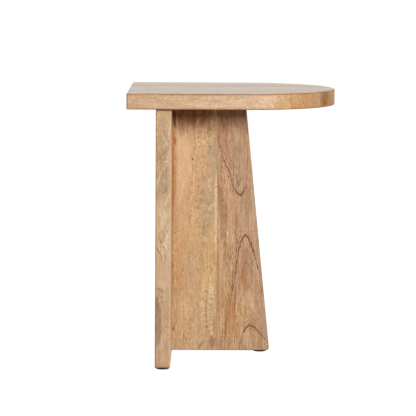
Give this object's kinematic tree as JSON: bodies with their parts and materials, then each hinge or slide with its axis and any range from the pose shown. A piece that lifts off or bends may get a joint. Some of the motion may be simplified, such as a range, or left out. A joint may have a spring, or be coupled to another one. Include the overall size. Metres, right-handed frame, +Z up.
{
  "type": "side table",
  "caption": "Low side table: a solid wood top with a square end and a half-round end, on a T-shaped base of tapered board panels.",
  "frame": {"origin": "on the floor, under the middle of the top's length and depth", "axes": "+Z up, +X along the top from its square end to its round end, +Y to the rear"},
  "size_m": [0.4, 0.4186, 0.52],
  "materials": {
    "top_wood": "light mango wood, thin satin lacquer",
    "end_panel_wood": "light mango wood, thin satin lacquer",
    "centre_panel_pale_wood": "light mango wood, thin satin lacquer",
    "centre_panel_dark_wood": "pinkish brown mango heartwood, thin satin lacquer",
    "dowel_wood": "plain turned hardwood",
    "felt": "dense dark felt"
  },
  "bodies": {
    "root": {"top_board_1": "top_wood", "top_board_2": "top_wood", "top_board_3": "top_wood", "top_board_4": "top_wood", "top_board_5": "top_wood", "top_board_6": "top_wood", "top_board_7": "top_wood", "end_panel_board_1": "end_panel_wood", "end_panel_board_2": "end_panel_wood", "end_panel_board_3": "end_panel_wood", "end_panel_board_4": "end_panel_wood", "end_panel_board_5": "end_panel_wood", "centre_panel_board_1": "centre_panel_pale_wood", "centre_panel_board_2": "centre_panel_dark_wood", "end_panel_top_dowel_1": "dowel_wood", "end_panel_top_dowel_2": "dowel_wood", "end_panel_top_dowel_3": "dowel_wood", "end_panel_top_dowel_4": "dowel_wood", "end_panel_top_dowel_5": "dowel_wood", "centre_panel_top_dowel_1": "dowel_wood", "centre_panel_top_dowel_2": "dowel_wood", "centre_panel_top_dowel_3": "dowel_wood", "centre_panel_top_dowel_4": "dowel_wood", "panel_joint_dowel_1": "dowel_wood", "panel_joint_dowel_2": "dowel_wood", "panel_joint_dowel_3": "dowel_wood", "panel_joint_dowel_4": "dowel_wood", "panel_joint_dowel_5": "dowel_wood", "front_foot_pad": "felt", "rear_foot_pad": "felt", "centre_foot_pad": "felt"}
  },
  "joints": []
}
